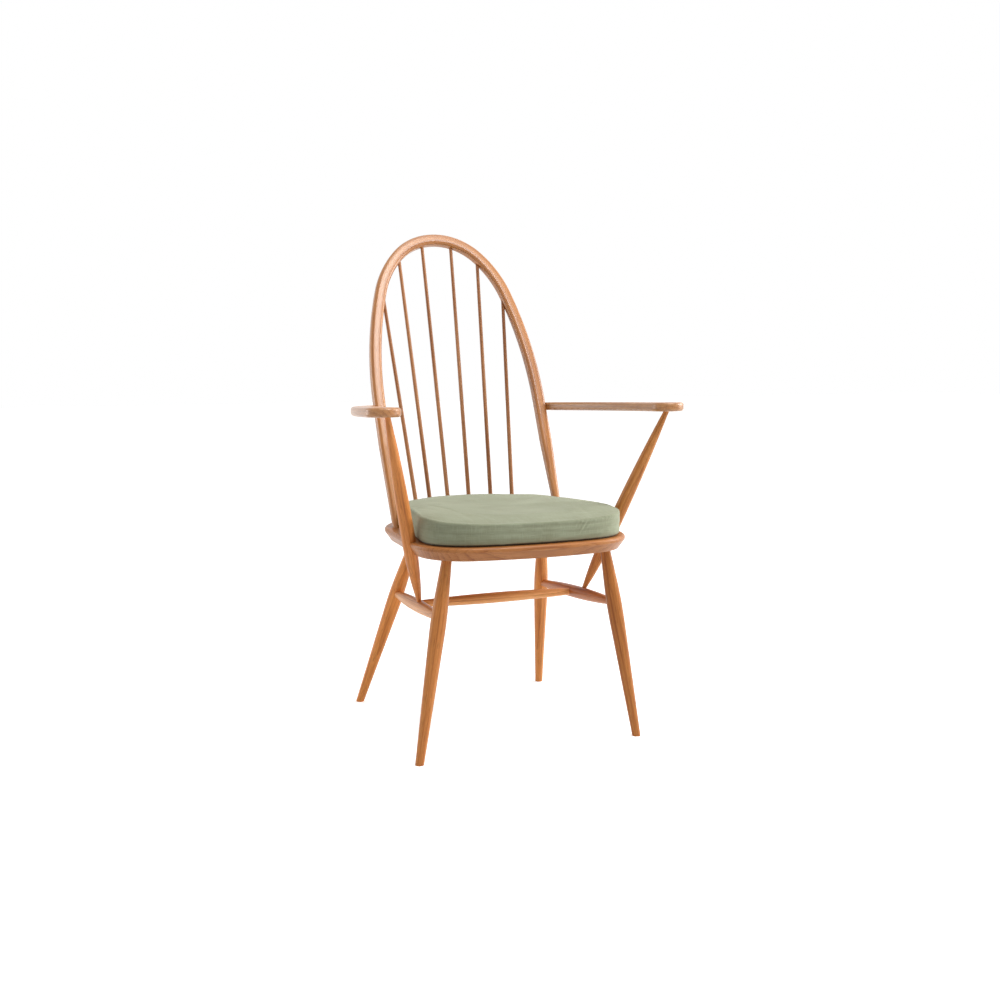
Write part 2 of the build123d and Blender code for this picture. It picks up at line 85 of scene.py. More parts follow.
def mixColours(tree, factor, first, second, blend="MIX"):
    # Sockets 6 and 7 of a Mix node are its two colours, and 2 is the colour that comes out
    made = addNode(tree, "Mix", {"Factor": factor, 6: first, 7: second}, data_type="RGBA", blend_type=blend)
    return made.outputs[2]


def ramp(tree, factor, stops):
    # Colour ramp from (place, colour) stops
    made = addNode(tree, "ValToRGB", {"Fac": factor})
    elements = made.color_ramp.elements
    while len(elements) < len(stops):
        elements.new(0.5)
    for element, (place, colour) in zip(elements, stops):
        element.position = place
        element.color = (*colour, 1) if len(colour) == 3 else (*colour * 3, 1)
    return made.outputs["Color"]


# Points of a mesh
def meshPoints(mesh):
    points = np.empty(len(mesh.vertices) * 3)
    mesh.vertices.foreach_get("co", points)
    return points.reshape(-1, 3)


def setPoints(mesh, points):
    mesh.vertices.foreach_set("co", points.astype(np.float32).ravel())
    mesh.update()


def middleOf(points):
    return (points.min(0) + points.max(0)) / 2


# Honey wood: growth rings, broad streaks, long fibres and short pores, all along local Z of the grain
wood = {
    "pale": (0.77, 0.33, 0.105),
    "honey": (0.61, 0.225, 0.058),
    "dark": (0.37, 0.115, 0.027),
    "pore": (0.17, 0.05, 0.014),
    "toneStops": (0.30, 0.50, 0.72),    # figure at the dark, honey and pale tone
    "ringGap": 0.0075,
    "ringCentre": (0.021, 0.034, 0.0),
    "ringDrift": 0.06,                  # how fast the rings change along the stick
    "ringWander": (5.0, 2.0, 0.45),     # distortion, its detail and the detail's scale
    "ringPower": 2.0,
    "ringShare": 0.17,
    "ringLift": 0.055,                  # gives back the tone that the rings take on average
    "streak": (150, 5.5, 2.0),          # across and along the grain, per metre, and detail
    "streakShare": 0.34,
    "fibre": (620, 7, 4.0),
    "fibreShare": 0.36,
    "blotch": (22, 4, 2.0),
    "blotchShare": 0.30,
    "pores": (1500, 42, 1.0),
    "poreStops": (0.53, 0.62),
    "poreShare": 0.4,
    "poreLoss": 0.25,                   # pores thin out towards the dark line of a ring
    "poreDepth": 0.8,
    "roughness": (0.38, 0.50),
    "bump": 0.00008,
    "bumpStrength": 0.6,
    "specular": 0.18,
    "polish": (0.15, 0.34),             # weight and roughness of the lacquer
    "cutApart": 0.37,                   # each stick is cut from another place of the plank
    "seatPith": (0, 0, 0.09),
    "smallPieceGrain": (0.3, 0.2, 0.1),
}


def woodFigureGroup():
    tree = bpy.data.node_groups.new("woodFigure", "ShaderNodeTree")
    sockets = (("Grain", "INPUT", "Vector"), ("Tint", "INPUT", "Color"), ("Color", "OUTPUT", "Color"),
               ("Roughness", "OUTPUT", "Float"), ("Height", "OUTPUT", "Float"))
    for name, side, kind in sockets:
        tree.interface.new_socket(name, in_out=side, socket_type="NodeSocket" + kind)
    entry = tree.nodes.new("NodeGroupInput")
    grain = entry.outputs["Grain"]
    out = tree.nodes.new("NodeGroupOutput")
    # Rings: a saw of the distance from a pith beside the stick, wandering slowly along it
    beside = addNode(tree, "VectorMath", {0: grain, 1: wood["ringCentre"]}, operation="ADD").outputs[0]
    distortion, detail, detailScale = wood["ringWander"]
    rings = addNode(tree, "TexWave", {"Vector": scaled(tree, beside, (1, 1, wood["ringDrift"])),
                                      "Scale": math.pi / 10 / wood["ringGap"], "Distortion": distortion,
                                      "Detail": detail, "Detail Scale": detailScale},
                    wave_type="RINGS", rings_direction="Z", wave_profile="SAW").outputs["Fac"]

    def grainNoise(kind):
        across, along, noiseDetail = wood[kind]
        return noiseAt(tree, scaled(tree, grain, (across, across, along)), noiseDetail)

    fibre = grainNoise("fibre")
    # Dark line late in each ring, then fibres, streaks and blotches, whose shares add up to one
    lateWood = mathNode(tree, "POWER", rings, wood["ringPower"])
    figure = mathNode(tree, "MULTIPLY_ADD", lateWood, -wood["ringShare"], wood["ringLift"])
    for kind, noise in (("fibre", fibre), ("streak", grainNoise("streak")), ("blotch", grainNoise("blotch"))):
        figure = mathNode(tree, "MULTIPLY_ADD", noise, wood[kind + "Share"], figure)
    tone = ramp(tree, figure, list(zip(wood["toneStops"], (wood["dark"], wood["honey"], wood["pale"]))))
    thinning = mathNode(tree, "MULTIPLY_ADD", rings, -wood["poreLoss"], 1.0)
    porous = mathNode(tree, "MULTIPLY", grainNoise("pores"), thinning)
    poreMask = ramp(tree, porous, list(zip(wood["poreStops"], ((0.0,), (1.0,)))))
    poreShare = mathNode(tree, "MULTIPLY", poreMask, wood["poreShare"])
    colour = mixColours(tree, poreShare, tone, (*wood["pore"], 1))
    colour = mixColours(tree, 1.0, colour, entry.outputs["Tint"], "MULTIPLY")
    low, high = wood["roughness"]
    tree.links.new(colour, out.inputs["Color"])
    tree.links.new(mathNode(tree, "MULTIPLY_ADD", fibre, high - low, low), out.inputs["Roughness"])
    tree.links.new(mathNode(tree, "MULTIPLY_ADD", poreMask, -wood["poreDepth"], fibre), out.inputs["Height"])
    return tree


woodFigure = woodFigureGroup()


def woodMaterial(name, grainSource, tint=(1, 1, 1), polish=wood["polish"]):
    # Satin lacquer over the figure; grainSource adds the nodes that give the grain coordinates
    material, tree, shader = newMaterial(name)
    figure = tree.nodes.new("ShaderNodeGroup")
    figure.node_tree = woodFigure
    figure.inputs["Tint"].default_value = (*tint, 1)
    tree.links.new(grainSource(tree), figure.inputs["Grain"])
    bump = addNode(tree, "Bump", {"Height": figure.outputs["Height"], "Strength": wood["bumpStrength"],
                                  "Distance": wood["bump"]})
    tree.links.new(figure.outputs["Color"], shader.inputs["Base Color"])
    tree.links.new(figure.outputs["Roughness"], shader.inputs["Roughness"])
    tree.links.new(bump.outputs["Normal"], shader.inputs["Normal"])
    shader.inputs["Specular IOR Level"].default_value = wood["specular"]
    shader.inputs["Coat Weight"].default_value = polish[0]
    shader.inputs["Coat Roughness"].default_value = polish[1]
    return material


def grainAlong(middle, direction):
    # Object coordinates with Z turned along the grain and the origin on the piece
    turn = Vector(direction).to_track_quat("Z", "Y").to_euler()

    def source(tree):
        place = addNode(tree, "TexCoord").outputs["Object"]
        return addNode(tree, "Mapping", {"Vector": place, "Location": middle, "Rotation": turn},
                       vector_type="TEXTURE").outputs[0]
    return source


def ownGrain(tree):
    # Grain coordinates that a new piece carries on its points
    return addNode(tree, "Attribute", attribute_name="grain").outputs["Vector"]


def longAxis(name):
    # Middle and longest principal direction of a CAD piece
    points = meshPoints(nodes[name].data)
    direction = np.linalg.svd(points - points.mean(0), full_matrices=False)[2][0]
    return middleOf(points), direction


def dress(name, material):
    nodes[name].data.materials.clear()
    nodes[name].data.materials.append(material)


# Each stick has its own tint, part timber tone and part painted light: thin spindles are browner, and the
# cross stretcher and rear legs, in the seat's shade, are painted paler as if lit there; the other tints also
# lighten or darken a stick by how light falls on it
tintsAndPaintedLight = {
    "spindle": (0.69, 0.82, 1.30),
    "leg_front_right": (0.94, 0.92, 0.87),
    "leg_front_left": (0.76, 0.72, 0.60),
    "leg_rear_right": (1.38, 1.38, 1.25),
    "leg_rear_left": (1.22, 1.26, 1.22),
    "side_stretcher_right": (1.24, 1.42, 1.75),
    "side_stretcher_left": (0.86, 0.78, 0.80),
    "cross_stretcher": (1.40, 1.72, 2.30),
    "arm_post_right": (1.18, 1.16, 1.15),
    "arm_post_left": (0.97, 1.00, 0.95),
    "arm_right": (0.85, 1.00, 1.25),
    "arm_left": (0.77, 0.91, 1.10),
    "seat": (0.70, 0.70, 0.71),
    "bow": (0.80, 0.84, 0.80),
}
glossy = {      # polished where hands and cloth rub
    "bow": (1.0, 0.27),
    "arm": (1.0, 0.30),
    "side_stretcher": (0.5, 0.34),
    "seat": (0.35, 0.34),
}
sticks = [("spindle", f"spindle_{number}") for number in range(1, 7)]
sticks.append(("cross_stretcher", "cross_stretcher"))
for kind in ("leg_front", "leg_rear", "side_stretcher", "arm_post", "arm"):
    sticks += [(kind, f"{kind}_{side}") for side in ("left", "right")]
for number, (kind, name) in enumerate(sticks):
    middle, direction = longAxis(name)
    grain = grainAlong(middle + direction * (wood["cutApart"] * number), direction)
    # The stick's tint, with painted light and shade in it
    tone = tintsAndPaintedLight.get(name) or tintsAndPaintedLight[kind]
    dress(name, woodMaterial(name + "_wood", grain, tone, glossy.get(kind, wood["polish"])))
seatLow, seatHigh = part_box("seat")
seatMiddle = (seatLow + seatHigh) / 2
seatGrain = grainAlong(seatMiddle + Vector(wood["seatPith"]), (1, 0, 0))
# The seat is painted darker, partly painted shade
dress("seat", woodMaterial("seat_wood", seatGrain, tintsAndPaintedLight["seat"], glossy["seat"]))
smallPieces = ("leg_wedges", "bow_wedges", "arm_dowels", "post_plugs")
for name in smallPieces:
    dress(name, woodMaterial(name + "_wood", grainAlong(wood["smallPieceGrain"], (0, 0, 1))))
print("wood on", len(sticks) + len(smallPieces) + 1, "CAD pieces")

# Screws, hidden under the plugs
steel = {
    "colour": (0.55, 0.55, 0.54),
    "brushing": (900, 900, 2500),       # per metre
    "brushingDetail": 2.0,
    "roughness": (0.25, 0.50),
}


def screwSteel():
    material, tree, shader = newMaterial("screw_steel")
    place = addNode(tree, "TexCoord").outputs["Object"]
    brushed = noiseAt(tree, scaled(tree, place, steel["brushing"]), steel["brushingDetail"])
    low, high = steel["roughness"]
    tree.links.new(mathNode(tree, "MULTIPLY_ADD", brushed, high - low, low), shader.inputs["Roughness"])
    shader.inputs["Base Color"].default_value = (*steel["colour"], 1)
    shader.inputs["Metallic"].default_value = 1.0
    return material


dress("post_screws", screwSteel())

# Surfaces on a grid
sharpAngle = math.radians(60)


def smoothShaded(mesh):
    mesh.polygons.foreach_set("use_smooth", np.ones(len(mesh.polygons), dtype=bool))


def addMesh(name, points, faces, body):
    mesh = bpy.data.meshes.new(name)
    mesh.from_pydata(points.tolist(), [], faces)
    smoothShaded(mesh)
    mesh.set_sharp_from_angle(angle=sharpAngle)
    mesh.update()
    piece = bpy.data.objects.new(name, mesh)
    scene.collection.objects.link(piece)
    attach(piece, body)
    return piece


def tubeFaces(rows, columns):
    # Quads of rings that close round, with a fan to a pole at each end; poles are the last two points.
    # Rings that run anticlockwise about the way ahead give faces that point outwards
    row = np.arange(rows - 1)[:, None] * columns
    column = np.arange(columns)[None, :]
    following = (column + 1) % columns
    quads = np.stack([row + column, row + following, row + columns + following, row + columns + column], -1)
    first = rows * columns
    lastRow = (rows - 1) * columns
    start = [(first, b, a) for a, b in zip(column[0], following[0])]
    end = [(first + 1, lastRow + a, lastRow + b) for a, b in zip(column[0], following[0])]
    return quads.reshape(-1, 4).tolist() + [tuple(map(int, face)) for face in start + end]


def withPoles(rings):
    # Ring points in one list, then the middles of the first and last ring
    return np.concatenate([rings.reshape(-1, 3), rings[0].mean(0)[None], rings[-1].mean(0)[None]])


def arcPoints(centre, radius, startAngle, endAngle, count):
    # Points of a circle between two angles in degrees, the last one left out
    angles = np.radians(np.linspace(startAngle, endAngle, count, endpoint=False))
    return np.asarray(centre) + radius * np.stack([np.cos(angles), np.sin(angles)], -1)


def evenly(line, step):
    # The same line with points a step apart, and the distance along it
    run = np.concatenate([[0], np.cumsum(np.linalg.norm(np.diff(line, axis=0), axis=1))])
    places = np.linspace(0, run[-1], int(run[-1] / step) + 1)
    return np.stack([np.interp(places, run, line[:, axis]) for axis in range(line.shape[1])], -1), places


def bell(distance, width):
    # One in the middle, falling as e to the minus square of the distance in widths
    return np.exp(-(distance / width) ** 2)


def waves(along, terms):
    # Sum of sine waves, each with its height, rate and start
    return sum(height * np.sin(along * rate + start) for height, rate, start in terms)


# Back bow: one bent stick in a raked plane, tapered to round feet
bow = {
    "rake": math.radians(23.9),
    "footFromRear": 0.1387,
    "footFromSide": 0.034,
    "rise": 0.6378,
    "apexRadius": 0.1243,
    "apexTurn": 46.2,
    "shoulderRadius": 0.2172,
    "shoulderTurn": 26.9,
    "width": 0.024,
    "depth": 0.021,
    "corner": 0.007,
    "footDiameter": 0.015,
    "tenonDiameter": 0.0136,
    "footShoulder": 0.0045,
    "taperTop": 0.171,
    "wedgeShows": 0.0004,
    "leanRun": 0.02,
    "sides": 48,
    "step": 0.004,
    "straightCount": 60,        # points of the line before they are spaced evenly
    "sideCount": 160,
    "archCount": 80,
}


def bowCentreLine(below):
    # Half hoop in its own plane: straight up from the foot, then three tangent arcs to the apex; mirrored
    half = seatHigh.x - bow["footFromSide"]
    turned = bow["apexTurn"] + bow["shoulderTurn"]
    apexCentre = np.array([0, bow["rise"] - bow["apexRadius"]])
    towards = np.radians(90 - bow["apexTurn"])
    inward = bow["apexRadius"] - bow["shoulderRadius"]
    shoulderCentre = apexCentre + inward * np.array([np.cos(towards), np.sin(towards)])
    low = np.radians(90 - turned)
    lowDirection = np.array([np.cos(low), np.sin(low)])
    shoulderLow = shoulderCentre + bow["shoulderRadius"] * lowDirection
    sideRadius = (half - shoulderLow[0]) / (1 - np.cos(low))
    sideCentre = shoulderCentre + (bow["shoulderRadius"] - sideRadius) * lowDirection
    upward = np.linspace(-below, sideCentre[1], bow["straightCount"], endpoint=False)
    line = np.concatenate([
        np.stack([np.full(bow["straightCount"], half), upward], -1),
        arcPoints(sideCentre, sideRadius, 0, 90 - turned, bow["sideCount"]),
        arcPoints(shoulderCentre, bow["shoulderRadius"], 90 - turned, 90 - bow["apexTurn"], bow["archCount"]),
        arcPoints(apexCentre, bow["apexRadius"], 90 - bow["apexTurn"], 90, bow["archCount"]),
        np.array([[0, bow["rise"]]]),
    ])
    mirroredLine = line[-2::-1] * (-1, 1)
    return np.concatenate([line, mirroredLine])


def makeBow():
    # Rounded-rectangle ring carried along the hoop; half sizes grow from the round foot to the full stick,
    # and the last rings lean by the rake, so that each foot is cut level under the seat
    seatThickness = seatHigh.z - seatLow.z
    below = (seatThickness - bow["wedgeShows"]) / math.cos(bow["rake"])
    line, run = evenly(bowCentreLine(below), bow["step"])
    ahead = np.gradient(line, axis=0)
    ahead /= np.linalg.norm(ahead, axis=1)[:, None]
    outward = np.stack([ahead[:, 1], -ahead[:, 0]], -1)
    height = line[:, 1]
    share = np.clip((height - bow["footShoulder"]) / (bow["taperTop"] - bow["footShoulder"]), 0, 1)
    inSeat = height < 0
    footRadius = np.where(inSeat, bow["tenonDiameter"], bow["footDiameter"]) / 2
    halfWide = footRadius + share * (bow["width"] / 2 - footRadius)
    halfDeep = footRadius + share * (bow["depth"] / 2 - footRadius)
    corner = footRadius + share * (bow["corner"] - footRadius)
    angle = (np.arange(bow["sides"]) + 0.5) * 2 * np.pi / bow["sides"]
    across = np.sign(np.cos(angle)) * (halfWide - corner)[:, None] + corner[:, None] * np.cos(angle)
    through = np.sign(np.sin(angle)) * (halfDeep - corner)[:, None] + corner[:, None] * np.sin(angle)
    flat = line[:, None, :] + across[:, :, None] * outward[:, None, :]
    fromEnd = np.minimum(run, run[-1] - run)
    leaning = np.clip(1 - fromEnd / bow["leanRun"], 0, 1)
    flat[..., 1] += through * math.tan(bow["rake"]) * leaning[:, None]
    sinRake, cosRake = math.sin(bow["rake"]), math.cos(bow["rake"])
    footY = seatHigh.y - bow["footFromRear"]
    rings = np.stack([
        flat[..., 0],
        footY + flat[..., 1] * sinRake + through * cosRake,
        seatHigh.z + flat[..., 1] * cosRake - through * sinRake,
    ], -1)
    grain = np.stack([across, through, np.broadcast_to(run[:, None], across.shape)], -1)
    piece = addMesh("bent_bow", withPoles(rings), tubeFaces(*rings.shape[:2]), "frame")
    stored = piece.data.attributes.new("grain", "FLOAT_VECTOR", "POINT")
    stored.data.foreach_set("vector", withPoles(grain).astype(np.float32).ravel())
    # The bow's tint darkens its wood, partly painted shade under its sheen
    piece.data.materials.append(woodMaterial("bow_wood", ownGrain, tintsAndPaintedLight["bow"], glossy["bow"]))
    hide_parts("back_bow")


makeBow()
print("bow bent")

# Seat cushion: sewn box cover over foam, in the plan of the CAD cushion
cushion = {
    "frontTurn": 9,
    "corner": 0.100,
    "sideTaper": 8.6,
    "rearCorner": 0.130,
    "rearTurn": 44,
    "smaller": 0.0015,        # the cover swells back by this
    "cornerFill": 0.0065,     # the foam stands out at the front corners
    "cornerPlace": 0.150,     # shares of the way round, from the middle of the front
    "cornerWidth": 0.034,
    "baseRound": 0.005,
    "crease": 0.0397,         # height of the seam between side band and top, at the front
    "rearLift": 0.0068,       # the seam is higher towards the back, and highest along the sides
    "stepStart": 0.04,
    "stepRun": 0.18,
    "sideLift": 0.0046,
    "sidePlace": 0.23,
    "sideWidth": 0.075,
    "uneven": ((0.0003, 40, 0), (0.0003, 69, 1)),
    "creaseRound": 0.0035,
    "crown": 0.0055,
    "crownRun": 0.055,
    "dish": 0.0025,
    "dishWidth": 0.45,
    "arcCount": 100,          # points of each arc, of the whole outline and of the rings' profile
    "outlineCount": 360,
    "roundCount": 7,
    "bandCount": 10,
    "discCount": 24,
    "discStart": 0.03,
    "voxel": 0.004,
    "pressure": 4.0,
    "frames": 20,
    "slack": 0.001,
    "cap": 0.0035,
    "seamHold": 0.0075,       # the seams are held this far out, and the base up to its own height
    "seamWeight": 0.9,
    "baseHold": 0.002,
    "creaseInset": 0.002,
    "baseInset": 0.0015,
    "clear": 0.0030,          # how far the cover may swell
    "bandSlope": 0.7,         # faces that look less up or down than this are on the band
    "paintedShade": 0.0034,         # painted shade: the cover is near black below this height, for the shadow gap under the cushion
}
cushionCover = {              # how the cover behaves as cloth
    "quality": 6,
    "mass": 0.3,
    "tension_stiffness": 40,
    "compression_stiffness": 40,
    "bending_stiffness": 1.5,
}


def outwardOf(outline):
    # Unit normals of a closed anticlockwise line
    ahead = np.roll(outline, -1, axis=0) - np.roll(outline, 1, axis=0)
    ahead /= np.linalg.norm(ahead, axis=1)[:, None]
    return np.stack([ahead[:, 1], -ahead[:, 0]], -1)


def shieldOutline(half, front, rear, inset, count):
    # Bowed front, round corners, tapering sides and bowed back, all tangent; even points, anticlockwise
    half, front, rear = half - inset, front + inset, rear - inset
    corner, rearCorner = cushion["corner"] - inset, cushion["rearCorner"] - inset
    turn, lean = math.radians(cushion["frontTurn"]), math.radians(cushion["sideTaper"])
    last = lean + math.radians(cushion["rearTurn"])
    frontRadius = (half - corner * (1 - math.sin(turn))) / math.sin(turn)
    frontCentre = np.array([0, front + frontRadius])
    cornerStart = frontCentre + frontRadius * np.array([math.sin(turn), -math.cos(turn)])
    cornerCentre = np.array([half - corner, cornerStart[1] + corner * math.cos(turn)])
    sideStart = cornerCentre + corner * np.array([math.cos(lean), math.sin(lean)])
    pivot = sideStart - rearCorner * np.array([math.cos(lean), math.sin(lean)])
    rise = 1 - math.sin(last)
    room = rear - pivot[1] - rearCorner * math.sin(last) - (pivot[0] / math.cos(last) + rearCorner) * rise
    straight = room / (math.cos(lean) - math.sin(lean) * rise / math.cos(last))
    rearCentre = pivot + straight * np.array([-math.sin(lean), math.cos(lean)])
    rearRadius = rearCentre[0] / math.cos(last) + rearCorner
    frontAngle, sideAngle, lastAngle = cushion["frontTurn"] - 90, cushion["sideTaper"], math.degrees(last)
    right = np.concatenate([
        arcPoints(frontCentre, frontRadius, -90, frontAngle, cushion["arcCount"]),
        arcPoints(cornerCentre, corner, frontAngle, sideAngle, cushion["arcCount"]),
        arcPoints(rearCentre, rearCorner, sideAngle, lastAngle, cushion["arcCount"]),
        arcPoints((0, rear - rearRadius), rearRadius, lastAngle, 90, cushion["arcCount"]),
        np.array([[0, rear]]),
    ])
    loop = np.concatenate([right, right[-2::-1] * (-1, 1)])
    length = np.linalg.norm(np.diff(loop, axis=0), axis=1).sum()
    points, run = evenly(loop, length / count)
    points, run = points[:-1], run[:-1]
    place = run / length
    fill = bell(place - cushion["cornerPlace"], cushion["cornerWidth"])
    fill += bell(1 - place - cushion["cornerPlace"], cushion["cornerWidth"])
    return points + outwardOf(points) * fill[:, None] * cushion["cornerFill"], run


def creaseHeight(place):
    # Seam height above the base: lowest at the front, a soft step up to the back, and a rise along each side
    fromFront = np.minimum(place, 1 - place)
    step = np.clip((fromFront - cushion["stepStart"]) / cushion["stepRun"], 0, 1)
    rear = step * step * (3 - 2 * step)
    side = bell(fromFront - cushion["sidePlace"], cushion["sideWidth"])
    lift = cushion["rearLift"] * rear + cushion["sideLift"] * side
    return cushion["crease"] + lift + waves(place, cushion["uneven"]) * np.sin(place * np.pi) ** 2


def cushionRings(outline, run, low):
    # Rings from the base's middle, round the base edge, up the band, over the crease and in to the crown;
    # the crown rises as one minus the square of what is left of its run, less a shallow dish in the middle
    outward = outwardOf(outline)
    middle = np.append(middleOf(outline), 0)
    crease = creaseHeight(run / (run[-1] + run[1]))[None]
    quarter = np.radians(np.linspace(0, 90, cushion["roundCount"]))[:, None]
    base, top = cushion["baseRound"], cushion["creaseRound"]
    band = np.linspace(0, 1, cushion["bandCount"])[1:-1, None]
    edgeIn = np.concatenate([base * (1 - np.sin(quarter)), 0 * band, top * (1 - np.cos(quarter))])
    edgeUp = np.concatenate([base * (1 - np.cos(quarter)) + 0 * crease, base + band * (crease - top - base),
                             crease - top + top * np.sin(quarter)])
    edge = np.concatenate([outline[None] - edgeIn[..., None] * outward[None], (low + edgeUp)[..., None]], -1)
    flat = np.array([1, 1, 0])
    share = np.linspace(cushion["discStart"], 1, cushion["discCount"], endpoint=False)[:, None]
    reach = np.linalg.norm((edge[-1] - middle) * flat, axis=1)[None]
    baseDisc = middle + (edge[0] * flat - middle) * share[..., None] + np.array([0, 0, low])
    shareIn = share[::-1]
    left = np.maximum(1 - (1 - shareIn) * reach / cushion["crownRun"], 0)
    level = crease * shareIn + cushion["crease"] * (1 - shareIn)
    dish = cushion["dish"] * bell(shareIn, cushion["dishWidth"])
    height = low + level + cushion["crown"] * (1 - left ** 2) - dish
    topPlan = middle + (edge[-1] * flat - middle) * shareIn[..., None]
    topDisc = topPlan + height[..., None] * np.array([0, 0, 1])
    return np.concatenate([baseDisc, edge, topDisc])


def takeModified(piece, kind, **settings):
    # The piece's mesh with one modifier applied
    made = piece.modifiers.new(kind, kind)
    for name, value in settings.items():
        setattr(made, name, value)
    shown = piece.evaluated_get(bpy.context.evaluated_depsgraph_get())
    mesh = bpy.data.meshes.new_from_object(shown)
    piece.modifiers.remove(made)
    piece.data = mesh


def inflated(piece, held):
    # Cloth under pressure with its seams held; each point moves by the cap at most
    start = meshPoints(piece.data)
    group = piece.vertex_groups.new(name="seams")
    for weight in np.unique(held[held > 0]):
        group.add(np.flatnonzero(held == weight).tolist(), float(weight), "REPLACE")
    made = piece.modifiers.new("Cloth", "CLOTH")
    for name, value in cushionCover.items():
        setattr(made.settings, name, value)
    made.settings.vertex_group_mass = "seams"
    made.settings.use_pressure = True
    made.settings.uniform_pressure_force = cushion["pressure"]
    made.settings.shrink_min = -cushion["slack"]
    made.settings.effector_weights.gravity = 0
    made.collision_settings.use_collision = False
    made.point_cache.frame_end = cushion["frames"]
    for step in range(1, cushion["frames"] + 1):
        scene.frame_set(step)
    shown = piece.evaluated_get(bpy.context.evaluated_depsgraph_get())
    moved = meshPoints(shown.to_mesh()) - start
    shown.to_mesh_clear()
    piece.modifiers.remove(made)
    piece.vertex_groups.clear()
    scene.frame_set(1)
    far = np.linalg.norm(moved, axis=1)[:, None]
    print("cover moved up to", round(float(far.max()) * 1000, 2), "mm")
    setPoints(piece.data, start + moved * np.minimum(1, cushion["cap"] / np.maximum(far, 1e-9)))


def aroundOutline(points, outline, run):
    # Place along the outline and distance inside it, from the bearing about the middle
    middle = middleOf(outline)
    spoke = outline - middle
    bearing = np.unwrap(np.arctan2(spoke[:, 1], spoke[:, 0]))
    length = run[-1] + run[1]
    turn = 2 * np.pi
    bearings = np.concatenate([bearing, [bearing[0] + turn]])
    wanted = np.arctan2(points[:, 1] - middle[1], points[:, 0] - middle[0])
    wanted = (wanted - bearing[0]) % turn + bearing[0]
    along = np.interp(wanted, bearings, np.append(run, length))
    radius = np.linalg.norm(spoke, axis=1)
    rim = np.interp(wanted, bearings, np.append(radius, radius[0]))
    return along, rim - np.linalg.norm(points[:, :2] - middle, axis=1), length


def seamDistances(points, low, outline, run):
    # Distance of each point from the crease seam and from the base seam, and its place round the outline
    along, inside, length = aroundOutline(points, outline, run)
    up = points[:, 2] - low
    place = along / length
    creaseFar = np.hypot(up - creaseHeight(place) + cushion["creaseInset"], inside - cushion["creaseInset"])
    baseFar = np.hypot(up - cushion["baseInset"], inside - cushion["baseInset"])
    return creaseFar, baseFar, along, place


# Sewing on the filled cover; waves are (height, rate, start)
sewing = {
    "ridge": 0.0016,            # the sewn edge stands out
    "ridgeReach": 0.0036,
    "crisp": (0.68, 0.32),      # mean and swing of the ridge, sharpest on the sitter's right
    "groove": 0.0010,
    "grooveReach": 0.0026,
    "gather": 0.00018,
    "gatherGap": 0.0092,
    "gatherOff": 0.005,
    "gatherReach": 0.006,
    "gatherSlant": 0.8,
    "gatherWander": ((1.3, 41, 0), (0.9, 23, 1.7)),
    "gatherWave": ((0.65, 1, 0), (0.45, 0.61, 1.0)),
    "gatherFade": 97,
    "pucker": 0.0010,           # puckers below the seam, left of the front's middle as one sits
    "puckerPlace": 0.067,
    "puckerWidth": 0.013,
    "puckerOff": 0.011,
    "puckerReach": 0.009,
    "fold": 0.0003,
    "foldRate": 470,
    "foldWander": ((2.2, 11, 0), (1.1, 29, 0)),
    "foldFade": 17,
    "foldEdge": 0.004,
    "fade": (0.6, 0.4),         # mean and swing of what comes and goes along the seam
}


def comesAndGoes(along, rate):
    mean, swing = sewing["fade"]
    return mean + swing * np.sin(along * rate)


def sewn(piece, low, outline, run):
    # A ridge along the crease, a groove along the base seam, fine gathers, a few puckers and faint folds:
    # heights along the normals, each a bell of the distance from a seam, most of them times a wave along it
    mesh = piece.data
    points = meshPoints(mesh)
    normals = np.empty(len(points) * 3, dtype=np.float32)
    mesh.vertex_normals.foreach_get("vector", normals)
    creaseFar, baseFar, along, place = seamDistances(points, low, outline, run)
    crispMean, crispSwing = sewing["crisp"]
    crisp = crispMean - crispSwing * np.sin(place * 2 * np.pi)
    ridge = sewing["ridge"] * crisp * bell(creaseFar, sewing["ridgeReach"])
    groove = sewing["groove"] * bell(baseFar, sewing["grooveReach"])
    up = points[:, 2] - low
    below = creaseHeight(place) - up
    turns = (along + sewing["gatherSlant"] * below) * 2 * np.pi / sewing["gatherGap"]
    turns = turns + waves(along, sewing["gatherWander"])
    wave = waves(turns, sewing["gatherWave"]) * comesAndGoes(along, sewing["gatherFade"])
    gathers = sewing["gather"] * wave * bell(creaseFar - sewing["gatherOff"], sewing["gatherReach"])
    puckered = bell(place - sewing["puckerPlace"], sewing["puckerWidth"])
    puckers = sewing["pucker"] * wave * puckered * bell(below - sewing["puckerOff"], sewing["puckerReach"])
    onBand = np.clip(below / sewing["foldEdge"], 0, 1) * np.clip(up / sewing["foldEdge"], 0, 1)
    folds = np.sin(up * sewing["foldRate"] + waves(along, sewing["foldWander"]))
    folds = folds * comesAndGoes(along, sewing["foldFade"])
    shift = gathers + puckers + sewing["fold"] * folds * onBand + ridge - groove
    setPoints(mesh, points + normals.reshape(-1, 3) * shift[:, None])


def clothMap(piece, outline, run):
    # Weave coordinates in metres: the plan on top and base, length round by height on the band
    mesh = piece.data
    points = meshPoints(mesh)
    corners = np.empty(len(mesh.loops), dtype=np.int32)
    mesh.loops.foreach_get("vertex_index", corners)
    slopes = np.empty(len(mesh.polygons) * 3, dtype=np.float32)
    mesh.polygons.foreach_get("normal", slopes)
    along, inside, length = aroundOutline(points, outline, run)
    quads = corners.reshape(-1, 4)
    around = along[quads]
    around = np.where(around.max(1, keepdims=True) - around > length / 2, around + length, around)
    band = (np.abs(slopes.reshape(-1, 3)[:, 2]) < cushion["bandSlope"])[:, None]
    plan = points[quads]
    across = np.where(band, around, plan[..., 0])
    upward = np.where(band, plan[..., 2], plan[..., 1])
    layer = mesh.uv_layers.new(name="weave")
    layer.data.foreach_set("uv", np.stack([across, upward], -1).astype(np.float32).ravel())
